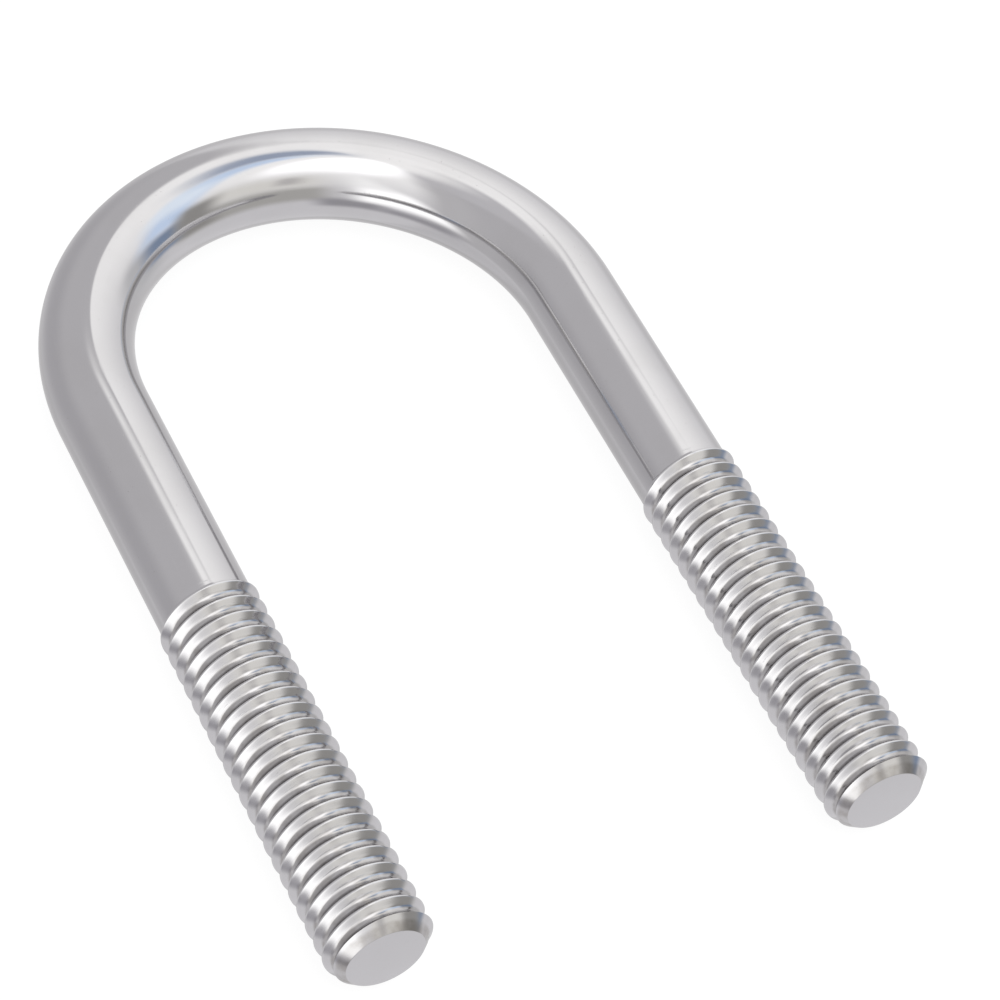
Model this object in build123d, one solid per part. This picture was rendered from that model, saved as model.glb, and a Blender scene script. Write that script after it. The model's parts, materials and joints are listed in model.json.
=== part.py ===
from build123d import *
import math
import os

# A U-bolt: one round steel bar, bent into a half circle with two straight parallel legs, and a
# single-start right-hand unified screw thread rolled on the end of each leg.
#
# Frame, in millimetres: the origin is the centre of the bend, where the axis of a clamped pipe
# lies. The bar's centre line is in the XY plane, the bend rises towards +Y, the legs run down
# towards -Y at X = -leg_spacing / 2 and X = +leg_spacing / 2, and +Z is the pipe's axis.
#
# The bar is written as three stretches that butt face to face: the bow (the bend and the plain
# part of both legs) and the threaded end of each leg.

MM_PER_INCH = 25.4

# Driving dimensions
bar_diameter = 7.06
leg_spacing = 37.8
leg_length = 50.45
thread_length = 31.05
threads_per_inch = 18

# Rolled thread form: the crests stand proud of the bar that they were rolled from, and the flanks
# are shallower than a cut thread's
crest_rise = 0.315
crest_flat = 0.12
root_flat = 0.34
flank_angle = 40.0
tip_chamfer = 0.99

# Angle about the leg, from +X towards +Z, where each thread starts: under the leg
left_start_angle = 270.0
right_start_angle = 270.0
groove_start_lag = 8.0

# Room that the cutting shapes take past the metal that they cut, and turns of blank left whole past
# both ends of the groove, which never runs out of the blank before that is trimmed to length
cut_margin = 0.15
trim_margin = 1.0
spare_turns = 2

# Derived sizes
bar_radius = bar_diameter / 2
bend_radius = leg_spacing / 2
plain_length = leg_length - thread_length
pitch = MM_PER_INCH / threads_per_inch
crest_radius = bar_radius + crest_rise
flank_slope = math.tan(math.radians(flank_angle))
groove_depth = (pitch - crest_flat - root_flat) / (2 * flank_slope)
root_radius = crest_radius - groove_depth
groove_mouth = pitch - crest_flat
groove_turns = math.ceil(thread_length / pitch) + 1


def helical_cut(profile, start_angle, rise, turns):
    """Sweep a closed (radius, height) profile up a right-hand helix about Z.

    The helix starts at start_angle, a height of rise above the ground plane.
    """
    path = Helix(pitch=pitch, height=turns * pitch, radius=root_radius)
    section = make_face(Plane.XZ * Polyline(*profile, close=True))
    return Pos(0, 0, rise) * Rot(0, 0, start_angle) * sweep(section, path=path, is_frenet=True)


def thread_groove(start_angle):
    """The V groove between two crests, from its start to past the tip."""
    mouth_radius = crest_radius + cut_margin
    half_root = root_flat / 2
    half_mouth = half_root + (mouth_radius - root_radius) * flank_slope
    profile = [
        (root_radius, -half_root),
        (mouth_radius, -half_mouth),
        (mouth_radius, half_mouth),
        (root_radius, half_root),
    ]
    first_groove = crest_flat + groove_mouth / 2 + pitch * groove_start_lag / 360
    return helical_cut(profile, start_angle + groove_start_lag, first_groove, groove_turns)


def start_relief(start_angle):
    """One turn of waste before the first crest, cut down to the plain bar's surface."""
    outer_radius = crest_radius + cut_margin
    crest_edge = cut_margin * flank_slope
    bar_edge = -crest_rise * flank_slope
    profile = [
        (bar_radius, bar_edge - pitch),
        (outer_radius, crest_edge - pitch),
        (outer_radius, crest_edge),
        (bar_radius, bar_edge),
    ]
    return helical_cut(profile, start_angle, 0, 1)


def threaded_end(start_angle):
    """One threaded leg end, standing on its joint with the plain leg, tip up."""
    blank_height = (groove_turns + 2 * spare_turns) * pitch
    blank = Pos(0, 0, -spare_turns * pitch) * Cylinder(
        crest_radius, blank_height, align=(Align.CENTER, Align.CENTER, Align.MIN)
    )
    threaded = blank - thread_groove(start_angle) - start_relief(start_angle)
    envelope = Cylinder(
        crest_radius + trim_margin, thread_length, align=(Align.CENTER, Align.CENTER, Align.MIN)
    )
    tip_edge = envelope.edges().filter_by(GeomType.CIRCLE).sort_by(Axis.Z)[-1]
    return threaded & chamfer(tip_edge, tip_chamfer + trim_margin)


def hang_on_leg(end, x):
    """Turn a threaded end to point along -Y and join it to the plain leg at x."""
    return Pos(x, -plain_length, 0) * Rot(90, 0, 0) * end


def bow():
    """The bend and the plain part of both legs, as one bar."""
    left_leg = Line((-bend_radius, -plain_length, 0), (-bend_radius, 0, 0))
    bend = JernArc((-bend_radius, 0, 0), (0, 1, 0), bend_radius, -180)
    right_leg = Line((bend_radius, 0, 0), (bend_radius, -plain_length, 0))
    centre_line = left_leg + bend + right_leg
    section = Plane(origin=(-bend_radius, -plain_length, 0), z_dir=(0, 1, 0)) * Circle(bar_radius)
    return sweep(section, path=centre_line)


nodes = {
    "bow": bow(),
    "left_thread": hang_on_leg(threaded_end(left_start_angle), -bend_radius),
    "right_thread": hang_on_leg(threaded_end(right_start_angle), bend_radius),
}

os.makedirs("parts", exist_ok=True)
for name, shape in nodes.items():
    export_step(shape, f"parts/{name}.step")
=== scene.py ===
import json
import math
import bmesh
import bpy
from mathutils import Matrix, Vector

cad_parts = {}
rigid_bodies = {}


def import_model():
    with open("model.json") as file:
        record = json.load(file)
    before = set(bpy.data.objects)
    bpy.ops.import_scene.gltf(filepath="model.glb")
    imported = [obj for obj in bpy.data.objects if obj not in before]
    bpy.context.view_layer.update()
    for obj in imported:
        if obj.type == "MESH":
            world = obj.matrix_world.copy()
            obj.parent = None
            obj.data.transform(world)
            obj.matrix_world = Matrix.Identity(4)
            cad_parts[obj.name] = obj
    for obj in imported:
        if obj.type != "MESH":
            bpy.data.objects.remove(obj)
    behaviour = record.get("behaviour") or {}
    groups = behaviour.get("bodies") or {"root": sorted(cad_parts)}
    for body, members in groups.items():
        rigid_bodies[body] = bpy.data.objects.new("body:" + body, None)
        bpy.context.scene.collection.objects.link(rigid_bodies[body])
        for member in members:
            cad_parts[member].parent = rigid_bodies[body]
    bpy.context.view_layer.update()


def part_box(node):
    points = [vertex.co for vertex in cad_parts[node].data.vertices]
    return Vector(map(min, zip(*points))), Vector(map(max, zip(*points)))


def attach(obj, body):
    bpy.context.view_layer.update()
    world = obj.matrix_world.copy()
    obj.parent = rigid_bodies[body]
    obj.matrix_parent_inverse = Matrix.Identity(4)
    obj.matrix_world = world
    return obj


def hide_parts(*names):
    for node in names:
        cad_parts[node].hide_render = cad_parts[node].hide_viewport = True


# A bright steel U-bolt lying on a pale table. The pieces are modelled in millimetres and shrunk
# to metres when they are finished; each leg's thread is modelled standing on the origin, tip up,
# and then laid along its leg.

MM = 0.001

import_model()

# ---------------------------------------------------------------- sizes, in millimetres
bow_low, bow_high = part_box("bow")
thread_low, thread_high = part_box("left_thread")
BAR_RADIUS = round(bow_high.z / MM, 3)
CREST_RADIUS = round(thread_high.z / MM, 3)
LEG_X = round(bow_high.x / MM - BAR_RADIUS, 3)
PLAIN_LENGTH = round(-bow_low.y / MM, 3)
THREAD_LENGTH = round(-thread_low.y / MM - PLAIN_LENGTH, 3)

PITCH = 25.4 / 18
CREST_FLAT = 0.11
ROOT_FLAT = 0.415
CREST_ROUND = 0.05
ROOT_ROUND = 0.41
FLANK_ANGLE = math.radians(38)
TIP_CHAMFER = 0.99
TIP_EDGE_ROUND = 0.05
START_ANGLE = {"left_thread": math.radians(270), "right_thread": math.radians(270)}
RIDGE_START = math.radians(50)
RIDGE_FADE = math.radians(50)

# Worked out from the thread's form
GROOVE_DEPTH = (PITCH - CREST_FLAT - ROOT_FLAT) / (2 * math.tan(FLANK_ANGLE))
ROOT_RADIUS = CREST_RADIUS - GROOVE_DEPTH

# How finely the curves are divided
SIDES = 128
BEND_STEPS = 192
SHANK_STEPS = 16
CREST_STEPS = 5
ROOT_STEPS = 6
FLANK_STEPS = 3
TIP_EDGE_STEPS = 3

# Turns swept past each end of a thread and then cut away, points closer than this are one point,
# and edges sharper than this stay crisp
SPARE_TURNS = 2
MERGE_DISTANCE = 0.0005
CRISP_ANGLE = math.radians(30)


# ---------------------------------------------------------------- modelling helpers
def deselect_all():
    """Nothing selected and nothing active, so an operator acts only on what comes next."""
    for other in bpy.context.view_layer.objects:
        other.select_set(False)
    bpy.context.view_layer.objects.active = None


def select_only(piece):
    deselect_all()
    piece.select_set(True)
    bpy.context.view_layer.objects.active = piece


def edit(piece, mode="VERT"):
    """Open a piece in edit mode with nothing selected in it."""
    select_only(piece)
    bpy.ops.object.mode_set(mode="EDIT")
    bpy.ops.mesh.select_mode(type=mode)
    bpy.ops.mesh.select_all(action="DESELECT")


def stop_editing():
    bpy.ops.object.mode_set(mode="OBJECT")


def select_where(piece, kind, test):
    """Select the vertices, edges or faces of an open piece that pass a test of their place."""
    shape = bmesh.from_edit_mesh(piece.data)
    for element in getattr(shape, kind):
        if test(element):
            element.select_set(True)
    shape.select_flush_mode()
    bmesh.update_edit_mesh(piece.data)


def apply_modifier(piece, kind, **settings):
    """Add a modifier, set it and apply it to the mesh."""
    modifier = piece.modifiers.new(kind.lower(), kind)
    for setting, value in settings.items():
        setattr(modifier, setting, value)
    select_only(piece)
    bpy.ops.object.modifier_apply(modifier=modifier.name)


def smoothstep(value):
    value = min(max(value, 0.0), 1.0)
    return value * value * (3 - 2 * value)


def finish_piece(piece, node, material):
    """Shrink a finished piece to metres, give it its material and tie it to the frame."""
    select_only(piece)
    piece.scale = (MM, MM, MM)
    bpy.ops.object.transform_apply(location=True, rotation=True, scale=True)
    piece.data.materials.clear()
    piece.data.materials.append(material)
    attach(piece, "root")
    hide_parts(node)


# ---------------------------------------------------------------- the bow
def make_bow():
    """The bend and the plain part of both legs: a ring run up one leg, round and down."""
    deselect_all()
    bpy.ops.mesh.primitive_circle_add(
        vertices=SIDES,
        radius=BAR_RADIUS,
        fill_type="NOTHING",
        location=(-LEG_X, -PLAIN_LENGTH, 0),
        rotation=(math.pi / 2, 0, 0),
    )
    piece = bpy.context.object
    piece.name = "polished_bow"
    bpy.ops.object.transform_apply(location=True, rotation=True, scale=True)
    edit(piece)
    bpy.ops.mesh.select_all(action="SELECT")
    shank_step = PLAIN_LENGTH / SHANK_STEPS
    for _ in range(SHANK_STEPS):
        bpy.ops.mesh.extrude_edges_move(TRANSFORM_OT_translate={"value": (0, shank_step, 0)})
    bpy.ops.mesh.spin(
        steps=BEND_STEPS, dupli=False, angle=math.pi, center=(0, 0, 0), axis=(0, 0, 1)
    )
    for _ in range(SHANK_STEPS):
        bpy.ops.mesh.extrude_edges_move(TRANSFORM_OT_translate={"value": (0, -shank_step, 0)})
    bpy.ops.mesh.select_all(action="DESELECT")
    for sign in (-1, 1):
        select_where(
            piece,
            "verts",
            lambda v, sign=sign: v.co.x * sign > 0 and abs(v.co.y + PLAIN_LENGTH) < 1e-4,
        )
        bpy.ops.mesh.edge_face_add()
        bpy.ops.mesh.select_all(action="DESELECT")
    bpy.ops.mesh.select_all(action="SELECT")
    bpy.ops.mesh.normals_make_consistent(inside=False)
    stop_editing()
    record_bar_places(piece)
    select_only(piece)
    bpy.ops.object.shade_smooth_by_angle(angle=CRISP_ANGLE)
    return piece


def record_bar_places(piece):
    """Store each point's place on the bar as if it were straight: two across and one along."""
    places = piece.data.attributes.new("bar_place", "FLOAT_VECTOR", "POINT")
    for vertex, place in zip(piece.data.vertices, places.data):
        x, y, z = vertex.co
        if y <= 0:
            across = abs(x) - LEG_X
            along = y if x < 0 else math.pi * LEG_X - y
        else:
            across = math.hypot(x, y) - LEG_X
            along = (math.pi - math.atan2(y, x)) * LEG_X
        place.vector = (across, z, along)


# ---------------------------------------------------------------- the threads
def thread_profile():
    """One pitch of the thread as (radius, height), from one crest's middle to the next."""
    turn = math.pi / 2 - FLANK_ANGLE
    half = []
    tangent = CREST_ROUND * math.tan(turn / 2)
    half.append((CREST_RADIUS, 0.0))
    for step in range(CREST_STEPS + 1):
        angle = turn * step / CREST_STEPS
        radius = CREST_RADIUS - CREST_ROUND * (1 - math.cos(angle))
        half.append((radius, CREST_FLAT / 2 - tangent + CREST_ROUND * math.sin(angle)))
    tangent = ROOT_ROUND * math.tan(turn / 2)
    root_start = PITCH / 2 - ROOT_FLAT / 2
    flank_end = len(half)
    for step in range(ROOT_STEPS + 1):
        angle = turn * (1 - step / ROOT_STEPS)
        radius = ROOT_RADIUS + ROOT_ROUND * (1 - math.cos(angle))
        half.append((radius, root_start + tangent - ROOT_ROUND * math.sin(angle)))
    top, bottom = half[flank_end - 1], half[flank_end]
    flank = [
        tuple(a + (b - a) * step / FLANK_STEPS for a, b in zip(top, bottom))
        for step in range(1, FLANK_STEPS)
    ]
    half = half[:flank_end] + flank + half[flank_end:]
    mirrored = [(radius, PITCH - height) for radius, height in reversed(half)]
    return half + mirrored


def make_thread(name, leg_x):
    """One threaded leg end."""
    start_angle = START_ANGLE[name]
    first_crest = CREST_FLAT / 2
    turns = math.ceil(THREAD_LENGTH / PITCH) + 2 * SPARE_TURNS
    profile = thread_profile()

    deselect_all()
    bpy.ops.mesh.primitive_plane_add(size=0.1, location=(0, 0, 0))
    piece = bpy.context.object
    piece.name = "rolled_" + name
    edit(piece)
    bpy.ops.mesh.select_all(action="SELECT")
    bpy.ops.mesh.merge(type="CENTER")
    base = first_crest - SPARE_TURNS * PITCH
    place = Vector((profile[0][0], 0, base + profile[0][1]))
    bpy.ops.transform.translate(value=place)
    for radius, height in profile[1:]:
        target = Vector((radius, 0, base + height))
        if (target - place).length > 1e-6:
            bpy.ops.mesh.extrude_vertices_move(TRANSFORM_OT_translate={"value": target - place})
            place = target
    stop_editing()
    apply_modifier(
        piece,
        "SCREW",
        axis="Z",
        angle=2 * math.pi,
        screw_offset=PITCH,
        iterations=turns,
        steps=SIDES,
        render_steps=SIDES,
        use_merge_vertices=False,
        use_smooth_shade=True,
    )
    edit(piece)
    bpy.ops.mesh.select_all(action="SELECT")
    bpy.ops.mesh.remove_doubles(threshold=MERGE_DISTANCE)
    stop_editing()
    run_in(piece, first_crest)
    cap_ends(piece)
    trim_tip(piece)
    piece.rotation_euler = (0, 0, start_angle)
    select_only(piece)
    bpy.ops.object.transform_apply(location=True, rotation=True, scale=True)
    piece.rotation_euler = (math.pi / 2, 0, 0)
    piece.location = (leg_x, -PLAIN_LENGTH, 0)
    bpy.ops.object.transform_apply(location=True, rotation=True, scale=True)
    return piece


def run_in(piece, first_crest):
    """Shape the thread's start: plain bar up to the first crest, which rises out of it."""
    for vertex in piece.data.vertices:
        x, y, z = vertex.co
        radius = math.hypot(x, y)
        angle = math.atan2(y, x) % (2 * math.pi)
        turn = (z - first_crest) / PITCH - angle / (2 * math.pi)
        rise = smoothstep((angle - RIDGE_START) / RIDGE_FADE)
        if turn < -0.5 or z <= 0:
            radius_now = BAR_RADIUS
        elif turn < 0:
            radius_now = max(radius, BAR_RADIUS)
            radius_now = BAR_RADIUS + (radius_now - BAR_RADIUS) * rise
        elif turn < 0.5 or (turn < 1 and radius < BAR_RADIUS):
            radius_now = BAR_RADIUS + (radius - BAR_RADIUS) * rise
        else:
            radius_now = radius
        scale = radius_now / radius
        vertex.co = (x * scale, y * scale, max(z, 0.0))
    edit(piece)
    bpy.ops.mesh.select_all(action="SELECT")
    bpy.ops.mesh.remove_doubles(threshold=MERGE_DISTANCE)
    stop_editing()


def cap_ends(piece):
    """Close the open ends of the thread's surface and turn its faces outwards."""
    edit(piece, "EDGE")
    bpy.ops.mesh.select_non_manifold(
        extend=False,
        use_wire=False,
        use_boundary=True,
        use_multi_face=False,
        use_non_contiguous=False,
    )
    bpy.ops.mesh.fill_holes(sides=0)
    bpy.ops.mesh.select_all(action="SELECT")
    bpy.ops.mesh.normals_make_consistent(inside=False)
    stop_editing()


def make_tip_envelope():
    """A turned blank that holds the thread: it cuts the tip's flat face and its chamfer."""
    margin = 1.0
    height = THREAD_LENGTH + margin
    deselect_all()
    bpy.ops.mesh.primitive_cylinder_add(
        vertices=2 * SIDES,
        radius=CREST_RADIUS + margin,
        depth=height,
        location=(0, 0, THREAD_LENGTH - height / 2),
    )
    envelope = bpy.context.object
    bpy.ops.object.transform_apply(location=True, rotation=True, scale=True)
    top = THREAD_LENGTH - 1e-3
    edit(envelope, "EDGE")
    select_where(envelope, "edges", lambda e: all(v.co.z > top for v in e.verts))
    bpy.ops.mesh.bevel(offset=TIP_CHAMFER + margin, segments=1, affect="EDGES", clamp_overlap=False)
    bpy.ops.mesh.select_all(action="DESELECT")
    select_where(envelope, "edges", lambda e: all(v.co.z > top for v in e.verts))
    bpy.ops.mesh.bevel(offset=TIP_EDGE_ROUND, segments=TIP_EDGE_STEPS, affect="EDGES", clamp_overlap=False)
    stop_editing()
    return envelope


def trim_tip(piece):
    """Cut the thread to its length and turn the 45 degree chamfer on its tip."""
    envelope = make_tip_envelope()
    apply_modifier(piece, "BOOLEAN", operation="INTERSECT", object=envelope, solver="EXACT")
    bpy.data.objects.remove(envelope)
    cone_reach = CREST_RADIUS - TIP_CHAMFER + THREAD_LENGTH

    def on_chamfer(face):
        worst = max(
            abs(math.hypot(v.co.x, v.co.y) + v.co.z - cone_reach)
            for v in face.verts
        )
        return worst < 0.02 and face.normal.z > 0.3

    edit(piece, "EDGE")
    shape = bmesh.from_edit_mesh(piece.data)
    for face in shape.faces:
        face.smooth = True
    for edge in shape.edges:
        if len(edge.link_faces) != 2:
            continue
        kinds = {on_chamfer(face) for face in edge.link_faces}
        if len(kinds) == 2 or edge.calc_face_angle(0.0) > CRISP_ANGLE:
            edge.smooth = False
    bmesh.update_edit_mesh(piece.data)
    stop_editing()


# ---------------------------------------------------------------- shader building
class Shading:
    """Short ways to add nodes to one shader tree; a value is a number or another node's output."""

    def __init__(self, tree):
        self.tree = tree

    def node(self, kind, inputs=(), **settings):
        node = self.tree.nodes.new("ShaderNode" + kind)
        for setting, value in settings.items():
            setattr(node, setting, value)
        for name, value in dict(inputs).items():
            self.feed(value, node.inputs[name])
        return node

    def feed(self, value, socket):
        if isinstance(value, bpy.types.NodeSocket):
            self.tree.links.new(value, socket)
        else:
            socket.default_value = value

    def math(self, operation, *values):
        return self.node("Math", enumerate(values), operation=operation).outputs[0]

    def ramp(self, value, low, high, out_low=0.0, out_high=1.0):
        inputs = {
            "Value": value, "From Min": low, "From Max": high, "To Min": out_low, "To Max": out_high
        }
        return self.node("MapRange", inputs, interpolation_type="SMOOTHSTEP").outputs["Result"]

    def blend(self, factor, first, second):
        mix = self.node("Mix", data_type="RGBA")
        for value, socket in ((factor, mix.inputs[0]), (first, mix.inputs[6]), (second, mix.inputs[7])):
            self.feed(value, socket)
        return mix.outputs[2]

    def noise(self, place, scale, detail=2.0, rough=0.5):
        inputs = {"Vector": place, "Scale": scale, "Detail": detail, "Roughness": rough}
        return self.node("TexNoise", inputs).outputs["Fac"]

    def group(self, tree, **inputs):
        node = self.tree.nodes.new("ShaderNodeGroup")
        node.node_tree = tree
        for name, value in inputs.items():
            self.feed(value, node.inputs[name.replace("_", " ")])
        return node


def new_group(name, inputs, outputs):
    """An empty node group with named sockets, its Shading, its inputs and its output node."""
    group = bpy.data.node_groups.new(name, "ShaderNodeTree")
    kinds = {"value": "NodeSocketFloat", "vector": "NodeSocketVector", "colour": "NodeSocketColor"}
    for socket, kind in inputs.items():
        group.interface.new_socket(socket, in_out="INPUT", socket_type=kinds[kind])
    for socket, kind in outputs.items():
        group.interface.new_socket(socket, in_out="OUTPUT", socket_type=kinds[kind])
    shading = Shading(group)
    given = group.nodes.new("NodeGroupInput").outputs
    result = group.nodes.new("NodeGroupOutput").inputs
    return group, shading, given, result


# ---------------------------------------------------------------- shared surface effects
def fine_scratches_group():
    """Hairline scratches that follow the grain: a height, and a mask of the deeper ones."""
    group, sh, given, result = new_group(
        "fine_scratches", {"Place": "vector", "Lines": "value"}, {"Height": "value", "Deep": "value"}
    )
    hairs = sh.noise(given["Place"], given["Lines"], 4.0, 0.65)
    wide = sh.noise(given["Place"], sh.math("MULTIPLY", given["Lines"], 0.23), 2.0)
    deep = sh.ramp(hairs, 0.60, 0.72)
    deep = sh.math("MULTIPLY", deep, sh.ramp(wide, 0.45, 0.62))
    height = sh.math("SUBTRACT", sh.math("MULTIPLY", hairs, 0.35), sh.math("MULTIPLY", deep, 0.6))
    sh.feed(height, result["Height"])
    sh.feed(deep, result["Deep"])
    return group


def handling_group():
    """Faint smudges and a dusting of pits from handling, as two masks."""
    group, sh, given, result = new_group(
        "handling", {"Place": "vector", "Size": "value"}, {"Smudge": "value", "Pits": "value"}
    )
    scale = sh.math("DIVIDE", 1.0, given["Size"])
    broad = sh.noise(given["Place"], scale, 3.0, 0.55)
    close = sh.noise(given["Place"], sh.math("MULTIPLY", scale, 6.0), 3.0, 0.6)
    smudge = sh.math("MULTIPLY", sh.ramp(broad, 0.38, 0.66), sh.ramp(close, 0.25, 0.75, 0.6, 1.0))
    cells = sh.node(
        "TexVoronoi", {"Vector": given["Place"], "Scale": sh.math("MULTIPLY", scale, 14.0)}
    )
    keep = sh.node("SeparateColor", {"Color": cells.outputs["Color"]}).outputs["Red"]
    pits = sh.ramp(cells.outputs["Distance"], 0.05, 0.16, 1.0, 0.0)
    pits = sh.math("MULTIPLY", pits, sh.ramp(keep, 0.86, 0.90))
    sh.feed(smudge, result["Smudge"])
    sh.feed(pits, result["Pits"])
    return group


def thread_place_group():
    """Where a point lies on a leg's thread: how far out, and a place for marks along the helix."""
    group, sh, given, result = new_group(
        "thread_place",
        {"Place": "vector", "Leg Distance": "value", "Pitch": "value"},
        {"Radius": "value", "Grain": "vector"},
    )
    parts = sh.node("SeparateXYZ", {"Vector": given["Place"]}).outputs
    side = sh.math("SIGN", parts["X"])
    out = sh.math("SUBTRACT", parts["X"], sh.math("MULTIPLY", side, given["Leg Distance"]))
    radius = sh.node("CombineXYZ", {"X": out, "Z": parts["Z"]}).outputs[0]
    radius = sh.node("VectorMath", {0: radius}, operation="LENGTH").outputs["Value"]
    turn = sh.math("DIVIDE", sh.math("ARCTAN2", parts["Z"], out), 2 * math.pi)
    along = sh.math("DIVIDE", parts["Y"], given["Pitch"])
    across = sh.math("PINGPONG", sh.math("ADD", along, turn), 0.5)
    across = sh.math("MULTIPLY", across, given["Pitch"])
    slow = sh.math("MULTIPLY", parts["Y"], 0.02)
    grain = sh.node(
        "CombineXYZ",
        {"X": across, "Y": sh.math("ADD", slow, sh.math("MULTIPLY", out, 0.03)),
         "Z": sh.math("MULTIPLY", parts["Z"], 0.03)},
    )
    sh.feed(radius, result["Radius"])
    sh.feed(grain.outputs[0], result["Grain"])
    return group


FINE_SCRATCHES = fine_scratches_group()
HANDLING = handling_group()
THREAD_PLACE = thread_place_group()

STEEL = (0.530, 0.524, 0.534, 1)
STEEL_SHADE = (0.500, 0.493, 0.498, 1)
# Dark steel for the bar's pits, and for painted shade with grime in the threads' roots
STEEL_GRIME_AND_SHADE = (0.350, 0.335, 0.325, 1)
STEEL_WORN = (0.575, 0.570, 0.578, 1)
MARK_DEPTH = 0.00004


def new_steel(name):
    """A bare steel material: its Shading and its shader, with the constants set."""
    material = bpy.data.materials.new(name)
    material.use_nodes = True
    shader = material.node_tree.nodes["Principled BSDF"]
    shader.inputs["Metallic"].default_value = 1.0
    return material, Shading(material.node_tree), shader


def polished_bar_steel():
    """Bright drawn bar: mirror-like, with hairlines along it and faint handling marks."""
    material, sh, shader = new_steel("polished_bar")
    place = sh.node("Attribute", attribute_name="bar_place").outputs["Vector"]
    stretched = sh.node("Mapping", {"Vector": place, "Scale": (1, 1, 0.025)}).outputs[0]
    scratches = sh.group(FINE_SCRATCHES, Place=stretched, Lines=9.0).outputs
    marks = sh.group(HANDLING, Place=place, Size=5.0).outputs
    colour = sh.blend(sh.math("MULTIPLY", marks["Smudge"], 0.45), STEEL, STEEL_SHADE)
    colour = sh.blend(sh.math("MULTIPLY", marks["Pits"], 0.6), colour, STEEL_GRIME_AND_SHADE)
    colour = sh.blend(sh.math("MULTIPLY", scratches["Deep"], 0.35), colour, STEEL_WORN)
    sh.feed(colour, shader.inputs["Base Color"])
    rough = sh.math("MULTIPLY_ADD", marks["Smudge"], 0.05, 0.085)
    rough = sh.math("MULTIPLY_ADD", scratches["Deep"], 0.05, rough)
    sh.feed(sh.math("MULTIPLY_ADD", marks["Pits"], 0.2, rough), shader.inputs["Roughness"])
    height = sh.math("MULTIPLY_ADD", marks["Pits"], -0.8, scratches["Height"])
    bump = sh.node("Bump", {"Height": height, "Strength": 0.05, "Distance": MARK_DEPTH})
    sh.feed(bump.outputs[0], shader.inputs["Normal"])
    return material


def rolled_thread_steel():
    """The threads: rolling lines that follow the helix, burnished crests, and roots darkened with painted
    shade and grime.
    """
    material, sh, shader = new_steel("rolled_thread")
    place = sh.node("TexCoord").outputs["Object"]
    where = sh.group(THREAD_PLACE, Place=place, Leg_Distance=LEG_X * MM, Pitch=PITCH * MM).outputs
    rolling = sh.group(FINE_SCRATCHES, Place=where["Grain"], Lines=16000.0).outputs
    marks = sh.group(HANDLING, Place=place, Size=4 * MM).outputs
    crest = sh.ramp(where["Radius"], (CREST_RADIUS - 0.10) * MM, (CREST_RADIUS - 0.01) * MM)
    root = sh.ramp(where["Radius"], ROOT_RADIUS * MM, (ROOT_RADIUS + 0.22) * MM, 1.0, 0.0)
    along = sh.math("MULTIPLY", sh.node("SeparateXYZ", {"Vector": place}).outputs["Y"], -1.0)
    end_y = (PLAIN_LENGTH + THREAD_LENGTH) * MM
    tip = sh.ramp(along, end_y - 0.03 * MM, end_y - 0.01 * MM)
    not_tip = sh.math("SUBTRACT", 1.0, tip)
    crest = sh.math("MULTIPLY", crest, not_tip)
    root = sh.math("MULTIPLY", root, not_tip)
    uneven = sh.noise(place, 900.0, 3.0)
    wear = sh.math("MULTIPLY", crest, sh.ramp(uneven, 0.30, 0.60, 0.45, 1.0))
    # Painted shade: the thread's roots are darkened towards dark steel where shade falls in the grooves,
    # with some grime; the same mask also roughens them.
    root_shade_and_grime = sh.math("MULTIPLY", root, sh.ramp(uneven, 0.35, 0.70, 0.35, 0.95))
    colour = sh.blend(sh.math("MULTIPLY", marks["Smudge"], 0.35), STEEL, STEEL_SHADE)
    colour = sh.blend(root_shade_and_grime, colour, STEEL_GRIME_AND_SHADE)
    colour = sh.blend(wear, colour, STEEL_WORN)
    sh.feed(colour, shader.inputs["Base Color"])
    rough = sh.math("MULTIPLY_ADD", marks["Smudge"], 0.04, 0.10)
    rough = sh.math("MULTIPLY_ADD", root_shade_and_grime, 0.07, rough)
    rough = sh.math("MULTIPLY_ADD", wear, -0.02, rough)
    sh.feed(sh.math("MULTIPLY_ADD", tip, 0.06, rough), shader.inputs["Roughness"])
    rings = sh.noise(sh.node("CombineXYZ", {"X": where["Radius"]}).outputs[0], 14000.0, 3.0)
    lines = sh.math("MULTIPLY", rolling["Height"], not_tip)
    lines = sh.math("MULTIPLY_ADD", sh.math("MULTIPLY", rings, tip), 0.25, lines)
    bump = sh.node("Bump", {"Height": lines, "Strength": 0.12, "Distance": MARK_DEPTH})
    sh.feed(bump.outputs[0], shader.inputs["Normal"])
    return material


# ---------------------------------------------------------------- the pieces
bow = make_bow()
finish_piece(bow, "bow", polished_bar_steel())
thread_steel = rolled_thread_steel()
for name, leg_x in (("left_thread", -LEG_X), ("right_thread", LEG_X)):
    thread = make_thread(name, leg_x)
    finish_piece(thread, name, thread_steel)

# ---------------------------------------------------------------- table, light and camera
deselect_all()
bpy.ops.mesh.primitive_plane_add(size=6.0, location=(0, 0, -CREST_RADIUS * MM))
table = bpy.context.object
table.name = "table"
table_finish = bpy.data.materials.new("pale_table")
table_finish.use_nodes = True
shader = table_finish.node_tree.nodes["Principled BSDF"]
shader.inputs["Base Color"].default_value = (0.14, 0.14, 0.14, 1)
shader.inputs["Roughness"].default_value = 1.0
shader.inputs["Specular IOR Level"].default_value = 0.0
shader.inputs["Emission Color"].default_value = (1, 1, 1, 1)
shader.inputs["Emission Strength"].default_value = 0.90
table.data.materials.append(table_finish)
table.visible_glossy = False


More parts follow.
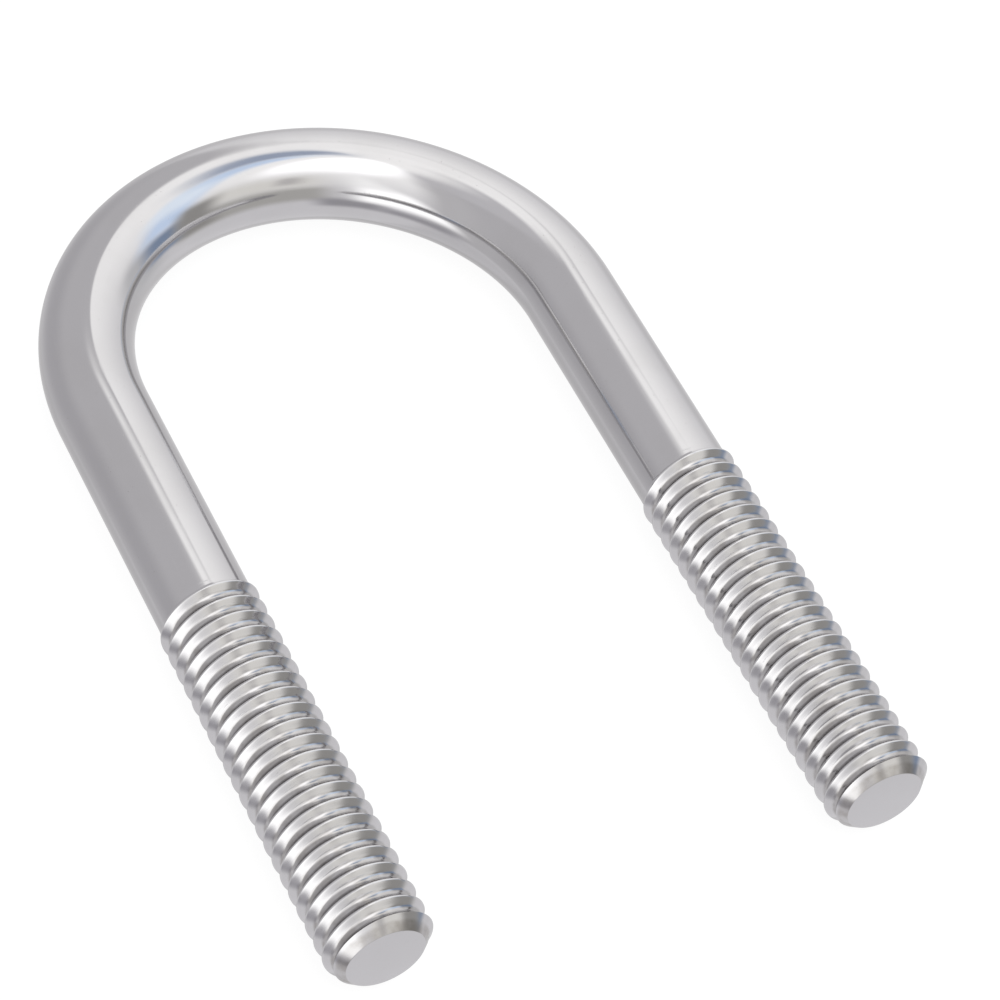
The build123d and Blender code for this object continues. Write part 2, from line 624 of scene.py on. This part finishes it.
def panel_group():
    """A soft-edged panel of studio light: a mask over azimuth and elevation, in degrees."""
    names = ("Azimuth", "Elevation", "Left", "Right", "Lean", "Side Soft", "Low", "High", "End Soft")
    group, sh, given, result = new_group(
        "studio_panel", dict.fromkeys(names, "value"), {"Mask": "value"}
    )
    azimuth, elevation = given["Azimuth"], given["Elevation"]
    left = given["Left"]
    right = sh.math("MULTIPLY_ADD", given["Lean"], elevation, given["Right"])
    middle = sh.math("MULTIPLY", sh.math("ADD", left, right), 0.5)
    half = sh.math("MULTIPLY", sh.math("SUBTRACT", right, left), 0.5)
    off = sh.math("WRAP", sh.math("SUBTRACT", azimuth, middle), 180.0, -180.0)
    inside = sh.math("SUBTRACT", half, sh.math("ABSOLUTE", off))
    soft = given["Side Soft"]
    mask = sh.ramp(inside, sh.math("MULTIPLY", soft, -1.0), soft)
    soft = given["End Soft"]
    over = sh.ramp(sh.math("SUBTRACT", elevation, given["Low"]), sh.math("MULTIPLY", soft, -1.0), soft)
    under = sh.ramp(sh.math("SUBTRACT", given["High"], elevation), sh.math("MULTIPLY", soft, -1.0), soft)
    sh.feed(sh.math("MULTIPLY", sh.math("MULTIPLY", mask, over), under), result["Mask"])
    return group


# The studio, as soft panels laid one over the other. Azimuths are from +Y towards +X: left and
# right edge, how far the right edge leans with height, side softness, low and high edge, end
# softness, and the light's colour.
STUDIO_PANELS = [
    (-200, 200, 0.0, 1, 27, 200, 45, (1.58, 1.57, 1.545)),
    (-26, 84, 0.0, 16, -200, -6, 12, (0.78, 0.77, 0.78)),
    (-112, -30, 0.0, 12, -85, -38, 8, (0.84, 0.83, 0.85)),
    (-42, 26, 0.0, 14, -82, -20, 12, (0.70, 0.69, 0.70)),
    (-119, -8, 0.0, 12, 50, 75, 8, (0.84, 0.83, 0.85)),
    (-112, 12, 0.33, 2, -36, 57, 3, (0.745, 0.735, 0.750)),
    (-120, -94, 0.0, 10, -32, 58, 9, (0.80, 0.79, 0.80)),
    (-72, 8, 0.0, 14, -24, 14, 14, (0.64, 0.63, 0.65)),
    (6, 62, 0.0, 7, 50, 68, 3, (1.52, 1.51, 1.49)),
    (78, 100, 0.0, 8, -30, 22, 10, (0.80, 0.80, 0.81)),
    (112, 192, 0.0, 8, -24, 13, 9, (0.65, 0.64, 0.61)),
    (128, 188, 0.0, 10, 12, 38, 10, (1.16, 1.14, 1.08)),
    (166, 178, 0.0, 5, 20, 36, 5, (0.80, 0.78, 0.76)),
    (-174, -140, 0.0, 8, -43, -19, 7, (0.50, 0.49, 0.52)),
    (-142, -98, 0.0, 10, -44, -29, 7, (0.52, 0.51, 0.54)),
    (149, 166, 1.0, 12, 50, 200, 10, (2.20, 2.20, 2.20)),
    (-154, -116, -0.75, 8, -21, 20, 8, (2.00, 2.00, 1.98)),
    (-158, -121, -0.75, 9, 18, 52, 8, (1.60, 1.60, 1.58)),
    (92, 120, 0.0, 9, 20, 80, 8, (0.93, 1.12, 1.42)),
    (84, 118, 0.0, 9, 40, 58, 7, (1.28, 1.42, 1.58)),
    (95, 118, 0.0, 7, -16, 19, 6, (0.33, 0.42, 0.58)),
    (115, 136, 0.0, 7, -20, 32, 7, (0.46, 0.45, 0.43)),
    (48, 92, 0.0, 9, 61, 84, 7, (0.52, 0.60, 0.76)),
]


def light_studio():
    """Surround the table with soft panels; the camera itself sees only a plain pale room."""
    world = bpy.data.worlds.new("studio")
    bpy.context.scene.world = world
    world.use_nodes = True
    sh = Shading(world.node_tree)
    direction = sh.node("TexCoord").outputs["Generated"]
    parts = sh.node("SeparateXYZ", {"Vector": direction}).outputs
    azimuth = sh.math("DEGREES", sh.math("ARCTAN2", parts["X"], parts["Y"]))
    elevation = sh.math("DEGREES", sh.math("ARCSINE", parts["Z"]))
    group = panel_group()
    colour = (0.97, 0.96, 0.98, 1)
    for left, right, lean, side_soft, low, high, end_soft, tint in STUDIO_PANELS:
        panel = sh.group(
            group, Azimuth=azimuth, Elevation=elevation, Left=left, Right=right, Lean=lean,
            Side_Soft=side_soft, Low=low, High=high, End_Soft=end_soft,
        )
        colour = sh.blend(panel.outputs["Mask"], colour, (*tint, 1))
    seen = sh.node("LightPath").outputs["Is Camera Ray"]
    colour = sh.blend(seen, colour, (1, 1, 1, 1))
    sh.feed(colour, world.node_tree.nodes["Background"].inputs["Color"])


light_studio()

AZIMUTH = math.radians(33.10)
ELEVATION = math.radians(48.52)
ROLL = math.radians(10.70)
DISTANCE = 0.29223
AIM = Vector((0.005114, -0.016843, 0.0))
look = Vector((
    math.sin(AZIMUTH) * math.cos(ELEVATION),
    math.cos(AZIMUTH) * math.cos(ELEVATION),
    -math.sin(ELEVATION),
))
camera_data = bpy.data.cameras.new("camera")
camera_data.sensor_width = 36.0
camera_data.lens = 145.55
camera_data.clip_start = 0.01
camera = bpy.data.objects.new("camera", camera_data)
bpy.context.scene.collection.objects.link(camera)
level = look.to_track_quat("-Z", "Y").to_matrix().to_4x4()
camera.matrix_world = Matrix.Translation(AIM - look * DISTANCE) @ level @ Matrix.Rotation(ROLL, 4, "Z")
bpy.context.scene.camera = camera
bpy.context.scene.view_settings.view_transform = "Standard"
